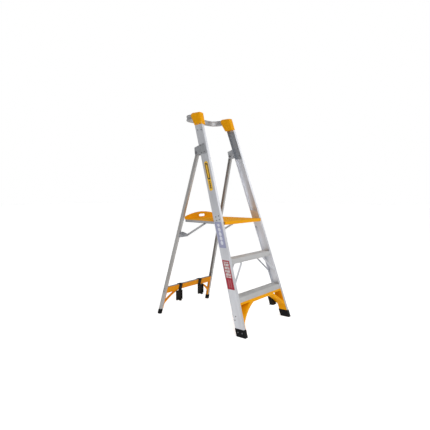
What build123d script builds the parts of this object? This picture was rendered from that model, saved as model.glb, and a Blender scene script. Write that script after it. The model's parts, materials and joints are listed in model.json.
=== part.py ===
"""Folding platform step ladder: aluminium frames, two treads, a moulded platform and a guard rail.

The front of the ladder faces -Y, +X is its right-hand side and +Z is up. The origin is on the floor,
in the middle of the four feet. Each right-hand piece is modelled once and mirrored to the left.
"""

from build123d import *
from math import atan2, degrees, hypot
import os

os.makedirs("parts", exist_ok=True)

# ---------------------------------------------------------------- overall sizes, millimetres
step_rise = 290.0  # floor to first tread, tread to tread, tread to platform
base_depth = 990.0  # front of the front stiles to back of the rear legs, on the floor
front_width = 700.0  # across the front stiles, on the floor
front_splay = 0.0684  # each stile comes in by this much for each millimetre of height
front_lean = 0.3194  # the stiles lean back by this much for each millimetre of height
rear_width = 688.0  # across the rear legs, on the floor
stile_top = 1720.0
hinge_height = 1447.0
hinge_setback = 44.0  # hinge axis behind the back of the stile
hinge_inset = 8.0  # rear leg inside the outer face of the stile, at the hinge

# ---------------------------------------------------------------- sections
stile_depth = 82.0
stile_flange = 25.0
stile_wall = 2.5
leg_depth = 31.0
leg_flange = 21.0
leg_wall = 2.0
sheet = 3.0  # steel plates, braces and struts
fit_gap = 0.5  # between pieces that are bolted together
moving_gap = 2.0  # between pieces that turn past each other
bore_gap = 0.05  # radial running clearance on a pin

# ---------------------------------------------------------------- steps
tread_height = 39.0
tread_wall = 2.0
tread_grooves = 9
tread_groove_pitch = 7.0
brace_width = 18.0
brace_inner_x = 165.0  # upper ends of the tread braces
brace_inset = 18.5  # lower ends of the tread braces, inside the stile's outer face
brace_drop = 141.0  # underside of the tread to the lower ends

# ---------------------------------------------------------------- platform
platform_lip = 16.0  # nosing in front of the stiles
platform_overhang = 18.0  # toe board behind the front of the rear legs
platform_gap = 3.5  # between the platform and the stile's flanges
deck_thickness = 5.0
nosing_height = 26.0
rail_height = 22.0
rail_wall = 3.0
toe_height = 58.0  # at the middle of the toe board
toe_end_height = 20.0
toe_depth = 7.0
handle_width = 84.0
handle_height = 24.0
member_size = 20.0
member_wall = 2.0

# ---------------------------------------------------------------- folding linkage
pivot_drop = 22.0  # pivots of the platform below its top
tilt_inset = 68.0  # platform pivot behind the front of the stile
strut_reach = 160.5  # platform pivot to strut pivot
latch_drop = 135.0  # lower ends of the struts below the platform's top
latch_reach = 58.0  # lower ends of the struts in front of the rear legs
strut_gap = 1.25  # between a strut and the platform's rail
strut_width = 18.0

# ---------------------------------------------------------------- fasteners
hinge_bolt = 5.0  # radii
pivot_pin = 4.0
rivet_shank = 2.4
rivet_head = 5.0
rivet_rise = 2.2

# ---------------------------------------------------------------- feet, caps and guard rail
sole = 6.0
boot_height = 60.0
boot_wall = 2.0
foot_height = 44.0
foot_wall = 4.0
cap_width = 50.0
cap_wall = 4.0
cap_skirt = 30.0  # cap below the top of the stile
cap_rise = 75.0  # cap above the top of the stile
cap_overhang = 17.0  # cap behind the back of the stile
cap_round = 8.0
rail_lift = 18.0  # guard rail above the top of the stile
rail_bead = 10.0  # bead radius
rail_gap = 30.0  # between bead centres
rail_web = 6.0
rail_plug = 62.0  # length of the rail inside the cap
rail_reach = 105.0  # middle of the rail behind the caps
rail_corner = 78.0

# ---------------------------------------------------------------- worked out from the sizes above
foot_line = -base_depth / 2  # front of the stiles on the floor
platform_top = 3 * step_rise
hinge_y = foot_line + front_lean * hinge_height + stile_depth + hinge_setback
rear_lean = (-foot_line - leg_depth / 2 - hinge_y) / hinge_height
hinge_half = front_width / 2 - front_splay * hinge_height
rear_splay = (rear_width / 2 - hinge_half + hinge_inset) / hinge_height
stile_axis = Vector(-front_splay, front_lean, 1)
leg_axis = Vector(-rear_splay, -rear_lean, 1)


def front_half(z):
    """Outer face of the right stile at a height."""
    return front_width / 2 - front_splay * z


def front_edge(z):
    """Front face of the stiles at a height."""
    return foot_line + front_lean * z


def rear_half(z):
    """Outer face of the right rear leg at a height."""
    return rear_width / 2 - rear_splay * z


def rear_edge(z):
    """Front face of the rear legs at a height."""
    return -foot_line - leg_depth - rear_lean * z


# The platform and its linkage, measured back from the front foot line.
platform_front = front_lean * platform_top - platform_lip
platform_back = rear_edge(platform_top) - foot_line + platform_overhang
platform_half_width = front_half(platform_top) - stile_flange - platform_gap


def platform_half(y):
    """Half the platform's width at a distance from the front foot line."""
    return platform_half_width - front_splay * (y - platform_front)


tilt_z = platform_top - pivot_drop
tilt_y = front_lean * tilt_z + tilt_inset
strut_y = tilt_y + strut_reach
latch_z = platform_top - latch_drop
tilt = Vector(0, foot_line + tilt_y, tilt_z)
strut_end = Vector(0, foot_line + strut_y, tilt_z)
latch = Vector(0, rear_edge(latch_z) - latch_reach, latch_z)
strut_plane = platform_half(strut_y) - rail_wall - strut_gap - sheet / 2  # middle of the strut, sideways

# Heights that follow the top of the stile and the storage catches.
cap_bottom = stile_top - cap_skirt
cap_top = stile_top + cap_rise
rail_axis_z = stile_top + rail_lift + rail_bead + rail_gap / 2
cap_back = front_edge(cap_top) + stile_depth + cap_overhang
hinge_back = stile_depth + hinge_setback  # hinge axis behind the front of the stile
catch_top = 178.0
catch_bottom = 104.0


def write(solid, name):
    """Label a finished piece and write it."""
    solid.label = name
    export_step(solid, f"parts/{name}.step")


def write_pair(solid, name):
    """Write a right-hand piece and its left-hand mirror image."""
    write(solid, f"{name}_right")
    write(solid.mirror(Plane.YZ), f"{name}_left")


# Outer face of the right stile's web: local x runs back, local y runs up the stile.
stile_face = Plane(origin=(front_width / 2, 0, 0), x_dir=(0, 1, 0), z_dir=(1, 0, front_splay))
leg_face = Plane(origin=(rear_width / 2, 0, 0), x_dir=(0, 1, 0), z_dir=(1, 0, rear_splay))
# Sloping fronts of the two frames: local x is sideways, local y runs up the slope.
front_face = Plane(origin=(0, foot_line, 0), x_dir=(1, 0, 0), z_dir=(0, -1, front_lean))
rear_face = Plane(origin=(0, rear_edge(0), 0), x_dir=(1, 0, 0), z_dir=(0, -1, -rear_lean))
up_web = hypot(1, front_splay)  # length up the web for each millimetre of height
up_leg = hypot(1, rear_splay)
up_front = hypot(1, front_lean)
up_rear = hypot(1, rear_lean)


def behind_front(depth):
    """The front frame's sloping face, moved back level by a distance."""
    return Plane(front_face.origin + Vector(0, depth, 0), front_face.x_dir, front_face.z_dir)


def behind_rear(depth):
    """The rear frame's sloping face, moved back level by a distance."""
    return Plane(rear_face.origin + Vector(0, depth, 0), rear_face.x_dir, rear_face.z_dir)


def web_location(y, z, offset=0.0):
    """A place on the right stile's outer face, local z outwards."""
    return stile_face.offset(offset).location * Location((y, z * up_web, 0))


def leg_location(y, z, offset=0.0):
    """A place on the right rear leg's outer face, local z outwards."""
    return leg_face.offset(offset).location * Location((y, z * up_leg, 0))


# ---------------------------------------------------------------- places of rivets on the stile and leg webs
def web_rivets(height, places, offset=0.0):
    """Places on the stile's outer face: distances behind its front, and above a height."""
    return [web_location(front_edge(height + rise) + back, height + rise, offset) for back, rise in places]


hinge_rivets = web_rivets(hinge_height, [(62, 61), (27, 69), (64, -1), (32, 5)], sheet)
pivot_rivets = web_rivets(tilt_z, [(52, 64), (22, 73), (52, 35), (21, 44)])
boot_rivets = web_rivets(boot_height - 26, [(20, 0), (60, 0)], boot_wall)
liner_rivets = web_rivets(stile_top - 80, [(20, 0), (60, 0)])
catch_rivets = web_rivets(catch_bottom, [(52, 46), (68, 16)])


def drill(locations, length=60.0):
    """Rivet holes through the walls near each place."""
    with Locations(locations):
        Cylinder(rivet_shank, length, mode=Mode.SUBTRACT)


def rivet(grip, tail=True):
    """One domed rivet: its flange sits on z = 0 and its tail, if any, is set behind the grip."""
    with BuildPart(mode=Mode.PRIVATE) as body:
        with Locations((0, 0, -grip)):
            Cylinder(rivet_shank, grip, align=(Align.CENTER, Align.CENTER, Align.MIN))
        Cylinder(rivet_head, rivet_rise, align=(Align.CENTER, Align.CENTER, Align.MIN))
        fillet(body.faces().sort_by(Axis.Z)[-1].edges(), rivet_rise * 0.7)
        if tail:
            with Locations((0, 0, -grip)):
                Cylinder(rivet_shank * 1.5, 1.6, align=(Align.CENTER, Align.CENTER, Align.MAX))
    return body.part


# ================================================================ front frame
def stile_section(gap=0.0):
    """Cut through a stile, level: a channel whose flanges point inwards."""
    with Locations((front_width / 2 + gap, foot_line - gap)):
        Rectangle(stile_flange + 2 * gap, stile_depth + 2 * gap, align=(Align.MAX, Align.MIN))
    with Locations((front_width / 2 - stile_wall - gap, foot_line + stile_wall + gap)):
        Rectangle(
            stile_flange + gap,
            stile_depth - 2 * stile_wall - 2 * gap,
            align=(Align.MAX, Align.MIN),
            mode=Mode.SUBTRACT,
        )


def along_stile(z):
    """Extrusion length from the floor to a height along the stile."""
    return z * stile_axis.length


def cut_by_height(z, keep):
    """Keep what is above or below a height."""
    split(bisect_by=Plane.XY.offset(z), keep=keep)


with BuildPart() as stile:
    with BuildSketch():
        stile_section()
    extrude(amount=along_stile(stile_top), dir=stile_axis)
    cut_by_height(sole, Keep.TOP)
    drill(hinge_rivets + pivot_rivets + boot_rivets + liner_rivets + catch_rivets, 40)
write_pair(stile.part, "stile")

# Steel liner that doubles the stile between the hinge and the cap.
liner_bottom = hinge_height - 29
liner_top = cap_bottom - 12
with BuildPart() as liner:
    with BuildSketch():
        with Locations((front_width / 2 - stile_wall, foot_line + stile_wall)):
            Rectangle(stile_flange - stile_wall, stile_depth - 2 * stile_wall, align=(Align.MAX, Align.MIN))
        with Locations((front_width / 2 - stile_wall - 2, foot_line + stile_wall + 2)):
            Rectangle(
                stile_flange, stile_depth - 2 * stile_wall - 4, align=(Align.MAX, Align.MIN), mode=Mode.SUBTRACT
            )
    extrude(amount=along_stile(liner_top), dir=stile_axis)
    cut_by_height(liner_bottom, Keep.TOP)
    drill(hinge_rivets + liner_rivets, 40)
write_pair(liner.part, "stile_liner")

# Box insert that closes the stile's channel where the platform pivots.
box_bottom = tilt_z - 48
box_top = tilt_z + 97
with BuildPart() as box:
    with BuildSketch():
        with Locations((front_width / 2 - stile_wall, foot_line + stile_wall)):
            Rectangle(stile_flange - stile_wall, stile_depth - 2 * stile_wall, align=(Align.MAX, Align.MIN))
        with Locations((front_width / 2 - stile_wall - sheet, foot_line + stile_wall + sheet)):
            Rectangle(
                stile_flange - stile_wall - 2 * sheet,
                stile_depth - 2 * stile_wall - 2 * sheet,
                align=(Align.MAX, Align.MIN),
                mode=Mode.SUBTRACT,
            )
    extrude(amount=along_stile(box_top), dir=stile_axis)
    cut_by_height(box_bottom, Keep.TOP)
    drill(pivot_rivets, 16)
    with Locations((front_half(tilt_z) - stile_flange, tilt.Y, tilt.Z)):
        Cylinder(pivot_pin, 12, rotation=(0, 90, 0), mode=Mode.SUBTRACT)
write_pair(box.part, "platform_bracket")

# Pivot pin of the platform: a head inside the insert, a shank through it and a retaining head inboard.
pin_outer = front_half(tilt_z) - stile_flange + sheet
rail_inner_at_tilt = platform_half(tilt_y) - rail_wall
with BuildPart() as tilt_pin:
    with BuildSketch(Plane.YZ.offset(rail_inner_at_tilt - 1.0)):
        with Locations((tilt.Y, tilt.Z)):
            Circle(pivot_pin)
    extrude(amount=pin_outer - rail_inner_at_tilt + 1.0)
    with BuildSketch(Plane.YZ.offset(pin_outer + 0.6)):
        with Locations((tilt.Y, tilt.Z)):
            Circle(pivot_pin * 1.6)
    extrude(amount=3)
    with BuildSketch(Plane.YZ.offset(pin_outer)):
        with Locations((tilt.Y, tilt.Z)):
            Circle(pivot_pin)
    extrude(amount=1)
    with BuildSketch(Plane.YZ.offset(rail_inner_at_tilt - 1.0)):
        with Locations((tilt.Y, tilt.Z)):
            Circle(pivot_pin * 1.6)
    extrude(amount=-2.5)
write_pair(tilt_pin.part, "platform_pivot_pin")


def tread(top, name):
    """A hollow ribbed tread between the stile webs, its front and back parallel to the stiles."""
    front = front_edge(top) + stile_wall + fit_gap
    depth = stile_depth - 2 * stile_wall - 2 * fit_gap
    shift = front_lean * tread_height
    cell = (depth - 3 * tread_wall) / 2
    with BuildPart() as step:
        with BuildSketch(Plane.YZ):
            with BuildLine():
                Polyline(
                    (front, top),
                    (front + depth, top),
                    (front + depth - shift, top - tread_height),
                    (front - shift, top - tread_height),
                    close=True,
                )
            make_face()
            for number in range(2):
                left = front + tread_wall + number * (cell + tread_wall)
                high = tread_wall + 1.2
                low = tread_height - tread_wall
                with BuildLine():
                    Polyline(
                        (left - front_lean * high, top - high),
                        (left + cell - front_lean * high, top - high),
                        (left + cell - front_lean * low, top - low),
                        (left - front_lean * low, top - low),
                        close=True,
                    )
                make_face(mode=Mode.SUBTRACT)
            with Locations((front + depth / 2, top)):
                with GridLocations(tread_groove_pitch, 1, tread_grooves, 1):
                    Rectangle(3.0, 2.0, mode=Mode.SUBTRACT)
        extrude(amount=front_width / 2, both=True)
        for side in (-1, 1):
            web = Plane(
                origin=(side * (front_width / 2 - stile_wall - fit_gap / 2), 0, 0),
                x_dir=(0, 1, 0),
                z_dir=(side, 0, front_splay),
            )
            split(bisect_by=web, keep=Keep.BOTTOM)
    write(step.part, name)


tread(step_rise, "tread_lower")
tread(2 * step_rise, "tread_upper")


def tread_brace(depth, towards, name):
    """A flat diagonal strut from under the upper tread to the inside of a stile flange."""
    under = 2 * step_rise - tread_height
    with BuildPart() as brace:
        with BuildSketch(behind_front(depth)):
            low = (front_half(under - brace_drop) - brace_inset, (under - brace_drop) * up_front)
            high = (brace_inner_x, (under - 8) * up_front)
            angle = degrees(atan2(high[1] - low[1], high[0] - low[0]))
            with Locations(((low[0] + high[0]) / 2, (low[1] + high[1]) / 2)):
                SlotCenterToCenter(hypot(high[0] - low[0], high[1] - low[1]), brace_width, rotation=angle)
        extrude(amount=sheet, dir=(0, 1, 0))
        cut_by_height(under - sheet, Keep.BOTTOM)
        tab_y = front_edge(under) + depth + (0 if towards > 0 else sheet)
        with BuildSketch(Plane.XY.offset(under - sheet)):
            with Locations((brace_inner_x, tab_y)):
                Rectangle(26, 26, align=(Align.CENTER, Align.MIN if towards > 0 else Align.MAX))
        extrude(amount=sheet)
    write_pair(brace.part, name)


tread_brace(stile_wall, 1, "tread_brace_front")
tread_brace(stile_depth - stile_wall - sheet, -1, "tread_brace_rear")

# Moulded arch under the lower tread: a bar, two bowed bands and the plates beside the stiles.
arch_top = step_rise - tread_height
arch_bar = 25.0
arch_depth = 73.0
arch_wall = 3.0
arch_spring_x = 130.0  # where the arch leaves the bar
arch_foot = boot_height + 2.0
arch_landing = boot_height + 40.0
arch_strip = 7.0  # strip of the moulding beside the stile


def flange_tip(z):
    """Inner tip of the right stile's flanges, with a little clearance."""
    return front_half(z) - stile_flange - fit_gap


with BuildPart() as arch:
    with BuildSketch(behind_front(stile_wall)) as arch_outline:
        with BuildLine():
            spring = (arch_spring_x, (arch_top - arch_bar) * up_front)
            landing = (flange_tip(arch_landing) - arch_strip, arch_landing * up_front)
            crown = (arch_spring_x + 113, (arch_top - 86) * up_front)
            Polyline((0, spring[1]), spring)
            ThreePointArc(spring, crown, landing)
            Polyline(
                landing,
                (flange_tip(arch_foot) - arch_strip, arch_foot * up_front),
                (flange_tip(arch_foot), arch_foot * up_front),
                (flange_tip(arch_top), arch_top * up_front),
                (0, arch_top * up_front),
            )
            mirror(about=Plane.YZ)
        make_face()
        for side in (-1, 1):
            with BuildLine():
                Polyline(
                    (side * (arch_spring_x + 48), (arch_top - 17) * up_front),
                    (side * (flange_tip(arch_top - 17) - arch_strip), (arch_top - 17) * up_front),
                    (side * (flange_tip(arch_top - 108) - arch_strip), (arch_top - 108) * up_front),
                    close=True,
                )
            make_face(mode=Mode.SUBTRACT)
    extrude(amount=arch_depth, dir=(0, 1, 0))
    with BuildSketch(behind_front(stile_wall + arch_wall)):
        add(arch_outline.sketch_local)
        offset(amount=-arch_wall, mode=Mode.REPLACE)
    extrude(amount=arch_depth, dir=(0, 1, 0), mode=Mode.SUBTRACT)
write(arch.part, "front_arch_brace")

# Rubber boot round the foot of the stile, with its core inside the channel.
with BuildPart() as boot:
    with BuildSketch():
        with Locations((front_width / 2 + boot_wall, foot_line - boot_wall)):
            Rectangle(
                stile_flange + 2 * boot_wall + 4, stile_depth + 2 * boot_wall, align=(Align.MAX, Align.MIN)
            )
    extrude(amount=along_stile(boot_height), dir=stile_axis)
    with BuildSketch():
        stile_section()
    extrude(amount=along_stile(boot_height + 5), dir=stile_axis, mode=Mode.SUBTRACT)
    with BuildSketch():
        with Locations((front_width / 2 + boot_wall, foot_line - boot_wall)):
            Rectangle(
                stile_flange + 2 * boot_wall + 4, stile_depth + 2 * boot_wall, align=(Align.MAX, Align.MIN)
            )
    extrude(amount=along_stile(sole), dir=stile_axis)
    drill(boot_rivets, 16)
write_pair(boot.part, "front_boot")

# Catch behind each stile that the folded rear frame rests against.
catch_ear = 128.0  # height of the ear that is fixed to the stile
catch_outer = front_half(catch_ear) - 43
catch_inner = catch_outer - 58
catch_depth = 34.0  # behind the stile
with BuildPart() as catch:
    with BuildSketch(behind_front(stile_depth + fit_gap)):
        with Locations((catch_inner, catch_bottom * up_front)):
            Rectangle(catch_outer - catch_inner, (catch_top - catch_bottom) * up_front, align=(Align.MIN, Align.MIN))
        with Locations((catch_outer, catch_ear * up_front)):
            Rectangle(front_half(catch_ear) - catch_outer - 4, 44, align=(Align.MIN, Align.MIN))
    extrude(amount=sheet, dir=(0, 1, 0))
    with BuildSketch(behind_front(stile_depth + fit_gap)):
        for x in (catch_inner, catch_outer - sheet):
            with Locations((x, catch_bottom * up_front)):
                Rectangle(sheet, (catch_top - catch_bottom) * up_front, align=(Align.MIN, Align.MIN))
        with Locations((catch_inner, catch_bottom * up_front)):
            Rectangle(catch_outer - catch_inner, sheet, align=(Align.MIN, Align.MIN))
    extrude(amount=catch_depth, dir=(0, 1, 0))
    with BuildSketch(behind_front(stile_depth + fit_gap + catch_depth)):
        with Locations(((catch_inner + catch_outer) / 2, catch_bottom * up_front)):
            Rectangle(26, sheet, align=(Align.CENTER, Align.MIN))
    extrude(amount=26, dir=(0, 1, -0.55))
write_pair(catch.part, "storage_catch")

# ---------------------------------------------------------------- hinge bracket, bolt and spacer
cheek_gap = hinge_inset + leg_flange + moving_gap  # between the bracket's cheeks
back_top = (hinge_back + 9, 45)  # corners: distance behind the stile's front, rise above the hinge
back_low = (hinge_back + 18, -21)


def plate_outline(corners):
    """Corner points of a hinge plate on the stile's face."""
    heights = [(back, hinge_height + rise) for back, rise in corners]
    return [(front_edge(z) + back, z * up_web) for back, z in heights]


plate_foot = hinge_height - 16
plate_head = hinge_height + 60
with BuildPart() as bracket:
    with BuildSketch(stile_face):
        with BuildLine():
            Polyline(*plate_outline([(14, 80), back_top, back_low, (4, -9)]), close=True)
        make_face()
        fillet(vertices(), 9)
    extrude(amount=sheet)
    with BuildSketch(stile_face.offset(-cheek_gap)):
        with BuildLine():
            front = stile_depth + 0.2
            Polyline(*plate_outline([(front, 60), back_top, back_low, (front, -16)]), close=True)
        make_face()
    extrude(amount=-sheet)
    with BuildSketch(Plane.XY.offset(plate_foot)):
        with Locations((front_half(plate_foot) + sheet / 2, front_edge(plate_foot) + stile_depth + 0.2)):
            Rectangle(cheek_gap + 1.5 * sheet, sheet, align=(Align.MAX, Align.MIN))
    extrude(amount=along_stile(plate_head - plate_foot), dir=stile_axis)
    drill(hinge_rivets, 16)
    with Locations((hinge_half - cheek_gap / 2, hinge_y, hinge_height)):
        Cylinder(hinge_bolt, 3 * cheek_gap, rotation=(0, 90, 0), mode=Mode.SUBTRACT)
write_pair(bracket.part, "hinge_bracket")

bolt_outer = hinge_half + sheet + 1.5
bolt_inner = hinge_half - cheek_gap - sheet - 1.5
with BuildPart() as bolt:
    with BuildSketch(Plane.YZ.offset(bolt_inner)):
        with Locations((hinge_y, hinge_height)):
            Circle(hinge_bolt)
    extrude(amount=bolt_outer - bolt_inner)
    with BuildSketch(Plane.YZ.offset(bolt_outer)):
        with Locations((hinge_y, hinge_height)):
            Circle(11)
    extrude(amount=4)
    fillet(bolt.faces().sort_by(Axis.X)[-1].edges(), 3)
    with BuildSketch(Plane.YZ.offset(bolt_inner)):
        with Locations((hinge_y, hinge_height)):
            RegularPolygon(9, 6)
    extrude(amount=-6)
write_pair(bolt.part, "hinge_bolt")

with BuildPart() as spacer:
    with BuildSketch(Plane.YZ.offset(hinge_half - 1.0)):
        with Locations((hinge_y, hinge_height)):
            Circle(10)
            Circle(hinge_bolt, mode=Mode.SUBTRACT)
    extrude(amount=-(hinge_inset - 2.2))
write_pair(spacer.part, "hinge_spacer")


# ---------------------------------------------------------------- guard rail and top caps
rail_x = front_half(rail_axis_z) - cap_width / 2
rail_start = cap_back - rail_plug
rail_back = cap_back + rail_reach


def rail_section():
    """Cut through the guard rail: two round beads joined by a web."""
    with Locations((0, rail_gap / 2), (0, -rail_gap / 2)):
        Circle(rail_bead)
    Rectangle(rail_web * 2, rail_gap)


with BuildPart() as guard_rail:
    with BuildLine() as rail_path:
        start = Vector(rail_x, rail_start, rail_axis_z)
        bend = Vector(rail_x, rail_back - rail_corner, rail_axis_z)
        turn = Vector(rail_x - rail_corner, rail_back, rail_axis_z)
        Line(start, bend)
        RadiusArc(bend, turn, -rail_corner)
        Line(turn, (-turn.X, turn.Y, turn.Z))
        RadiusArc((-turn.X, turn.Y, turn.Z), (-bend.X, bend.Y, bend.Z), -rail_corner)
        Line((-bend.X, bend.Y, bend.Z), (-start.X, start.Y, start.Z))
    with BuildSketch(Plane(origin=start, x_dir=(1, 0, 0), z_dir=(0, 1, 0))):
        rail_section()
    sweep(path=rail_path.wires()[0])
write(guard_rail.part, "guard_rail")

cap_side = stile_face.offset(boot_wall)
with BuildPart() as cap:
    with BuildSketch(cap_side) as cap_outline:
        with BuildLine():
            corners = [
                (front_edge(cap_bottom) - 2, cap_bottom),
                (front_edge(cap_bottom) + stile_depth + 2, cap_bottom - 6),
                (cap_back, cap_top - 30),
                (cap_back, cap_top),
                (front_edge(cap_top) - 4, cap_top),
            ]
            Polyline(*[(y, z * up_web) for y, z in corners], close=True)
        make_face()
        fillet(cap_outline.vertices().sort_by(Axis.Y)[-1], 20)
    extrude(amount=-cap_width)
    rims = cap.edges().filter_by(lambda edge: edge.center().Z > cap_bottom)
    fillet(rims, cap_round)
    with BuildSketch(cap_side.offset(-cap_wall)):
        add(cap_outline.sketch_local)
        offset(amount=-cap_wall, mode=Mode.REPLACE)
    extrude(amount=-(cap_width - 2 * cap_wall), mode=Mode.SUBTRACT)
    with BuildSketch():
        stile_section()
    extrude(amount=along_stile(stile_top), dir=stile_axis, mode=Mode.SUBTRACT)
    with BuildSketch(Plane(origin=(rail_x, rail_start, rail_axis_z), x_dir=(1, 0, 0), z_dir=(0, 1, 0))):
        rail_section()
    extrude(amount=2 * rail_plug, mode=Mode.SUBTRACT)
write_pair(cap.part, "top_cap")

# ---------------------------------------------------------------- rivets of the front frame
with BuildPart() as frame_rivets:
    with Locations(hinge_rivets):
        add(rivet(sheet + stile_wall + 2))
    with Locations(pivot_rivets):
        add(rivet(stile_wall + sheet))
    with Locations(boot_rivets):
        add(rivet(boot_wall + stile_wall + 2, tail=False))
    with Locations(liner_rivets):
        add(rivet(stile_wall + 2))
    with Locations(catch_rivets):
        add(rivet(stile_wall))
    mirror(about=Plane.YZ)
write(frame_rivets.part, "frame_rivets")


# ---------------------------------------------------------------- labels on the left stile
def label(name, low, high, near, far, round_ends=False):
    """A thin label on the outer face of the left stile, between two heights."""
    with BuildPart() as plate:
        with BuildSketch(stile_face):
            with BuildLine():
                Polyline(
                    (front_edge(low) + near, low * up_web),
                    (front_edge(low) + far, low * up_web),
                    (front_edge(high) + far, high * up_web),
                    (front_edge(high) + near, high * up_web),
                    close=True,
                )
            make_face()
            fillet(vertices(), 17 if round_ends else 2)
        extrude(amount=0.4)
    write(plate.part.mirror(Plane.YZ), name)


label("label_upper", hinge_height - 323, hinge_height - 77, 22, 62, round_ends=True)
label("label_middle", platform_top - 202, platform_top + 2, 8, 76)
label("label_lower", 2 * step_rise - 230, 2 * step_rise - 8, 8, 76)

# ================================================================ rear frame
def leg_section():
    """Cut through a rear leg, level: a small channel whose flanges point inwards."""
    with Locations((rear_width / 2, rear_edge(0))):
        Rectangle(leg_flange, leg_depth, align=(Align.MAX, Align.MIN))
    with Locations((rear_width / 2 - leg_wall, rear_edge(0) + leg_wall)):
        Rectangle(leg_flange, leg_depth - 2 * leg_wall, align=(Align.MAX, Align.MIN), mode=Mode.SUBTRACT)


leg_top = hinge_height + 26.0
bar_bottom = 198.0
bar_top = 250.0
base_low = latch_z - 24  # base plate of the strut bracket
base_high = latch_z + 26
bracket_rivets = [
    behind_rear(-sheet - 0.2).location * Location((rear_half(z) - leg_flange / 2, z * up_rear, 0))
    for z in (latch_z - 12, latch_z + 14)
]
bar_rivets = [leg_location(rear_edge(z) + leg_depth / 2, z) for z in (bar_bottom + 12, bar_top - 12)]
with BuildPart() as leg:
    with BuildSketch():
        leg_section()
    extrude(amount=leg_top * leg_axis.length, dir=leg_axis)
    cut_by_height(4, Keep.TOP)
    with Locations((rear_half(hinge_height), hinge_y, hinge_height)):
        Cylinder(hinge_bolt + bore_gap, 90, rotation=(0, 90, 0), mode=Mode.SUBTRACT)
    drill(bracket_rivets + bar_rivets, 12)
write_pair(leg.part, "rear_leg")

# Moulded foot round the end of each rear leg, with a rounded sole.
def foot_outline():
    """Level outline of a rear foot."""
    with Locations((rear_width / 2 + foot_wall, rear_edge(0) - foot_wall)):
        Rectangle(
            leg_flange + 2 * foot_wall, leg_depth + foot_wall + boot_wall, align=(Align.MAX, Align.MIN)
        )
    fillet(vertices(), 8)


with BuildPart() as foot:
    with BuildSketch():
        foot_outline()
    extrude(amount=foot_height * leg_axis.length, dir=leg_axis)
    with BuildSketch():
        leg_section()
    extrude(amount=(foot_height + 5) * leg_axis.length, dir=leg_axis, mode=Mode.SUBTRACT)
    with BuildSketch():
        foot_outline()
    extrude(amount=4 * leg_axis.length, dir=leg_axis)
    fillet(foot.faces().sort_by(Axis.Z)[0].edges(), 3)
write_pair(foot.part, "rear_foot")

# Channel bar between the legs, open to the front, with its ends inside the legs.
bar_depth = leg_depth - 2 * leg_wall - 2 * fit_gap
bar_wall = 2.0


def leg_inside(z):
    """Inner face of the right rear leg's web."""
    return rear_half(z) - leg_wall - fit_gap / 2


def leg_tip(z):
    """Inner tip of the right rear leg's flanges, with a little clearance."""
    return rear_half(z) - leg_flange - fit_gap


with BuildPart() as bar:
    with BuildSketch(behind_rear(leg_wall + fit_gap)):
        with BuildLine():
            Polyline(
                (-leg_inside(bar_bottom), bar_bottom * up_rear),
                (leg_inside(bar_bottom), bar_bottom * up_rear),
                (leg_inside(bar_top), bar_top * up_rear),
                (-leg_inside(bar_top), bar_top * up_rear),
                close=True,
            )
        make_face()
    extrude(amount=bar_depth, dir=(0, 1, 0))
    with BuildSketch(behind_rear(0)):
        with Locations((0, (bar_bottom + bar_top) / 2 * up_rear)):
            Rectangle(2 * rear_width, (bar_top - bar_bottom) * up_rear - 2 * bar_wall)
    extrude(amount=leg_wall + fit_gap + bar_depth - bar_wall, dir=(0, 1, 0), mode=Mode.SUBTRACT)
write(bar.part, "rear_cross_bar")

# Moulded arch in the cross bar: a face panel, two bowed bands and strips down the legs.
rear_arch_foot = foot_height + 2.0
rear_landing = foot_height + 46.0
panel_low = bar_bottom + bar_wall + fit_gap
panel_high = bar_top - bar_wall - fit_gap
rear_arch_depth = 20.0
rear_strip = 6.0  # strip of the moulding beside the leg
mould_top = bar_bottom - fit_gap  # the deep part stays below the bar


def from_tip(inboard, z):
    """A point on the rear frame's face: distance from the leg's flange, and height."""
    return (leg_tip(z) - inboard, z * up_rear)


with BuildPart() as rear_arch:
    with BuildSketch(behind_rear(0)) as rear_outline:
        with BuildLine():
            spring = from_tip(160, panel_low)
            landing = from_tip(rear_strip, rear_landing)
            Polyline((0, spring[1]), spring)
            ThreePointArc(spring, from_tip(60, bar_bottom - 56), landing)
            Polyline(
                landing,
                from_tip(rear_strip, rear_arch_foot),
                from_tip(0, rear_arch_foot),
                from_tip(0, panel_high),
                (0, panel_high * up_rear),
            )
            mirror(about=Plane.YZ)
        make_face()
        with BuildLine():
            corner = from_tip(rear_strip, bar_bottom - 6)
            inner = from_tip(116, bar_bottom - 6)
            low = from_tip(rear_strip, rear_landing + 20)
            ThreePointArc(inner, from_tip(52, bar_bottom - 45), low)
            Polyline(low, corner, inner)
        make_face(mode=Mode.SUBTRACT)
        with BuildLine():
            corner, inner, low, bow = [
                (-x, y) for x, y in (corner, inner, low, from_tip(52, bar_bottom - 45))
            ]
            ThreePointArc(inner, bow, low)
            Polyline(low, corner, inner)
        make_face(mode=Mode.SUBTRACT)
    extrude(amount=leg_wall, dir=(0, 1, 0))
    with BuildSketch(behind_rear(0)):
        add(rear_outline.sketch_local)
        with Locations((0, mould_top * up_rear)):
            Rectangle(2 * rear_width, rear_width, align=(Align.CENTER, Align.MAX), mode=Mode.INTERSECT)
    extrude(amount=rear_arch_depth, dir=(0, 1, 0))
    with BuildSketch(behind_rear(0)):
        with Locations((0, (panel_low + panel_high) / 2 * up_rear)):
            Rectangle(2 * leg_tip(panel_high) - 20, (panel_high - panel_low) * up_rear)
    extrude(amount=rear_arch_depth, dir=(0, 1, 0))
    with BuildSketch(behind_rear(leg_wall)):
        with Locations((0, (panel_low + panel_high) / 2 * up_rear)):
            Rectangle(2 * leg_tip(panel_high) - 26, (panel_high - panel_low) * up_rear - 6)
    extrude(amount=rear_arch_depth, dir=(0, 1, 0), mode=Mode.SUBTRACT)
write(rear_arch.part, "rear_arch_brace")

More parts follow.
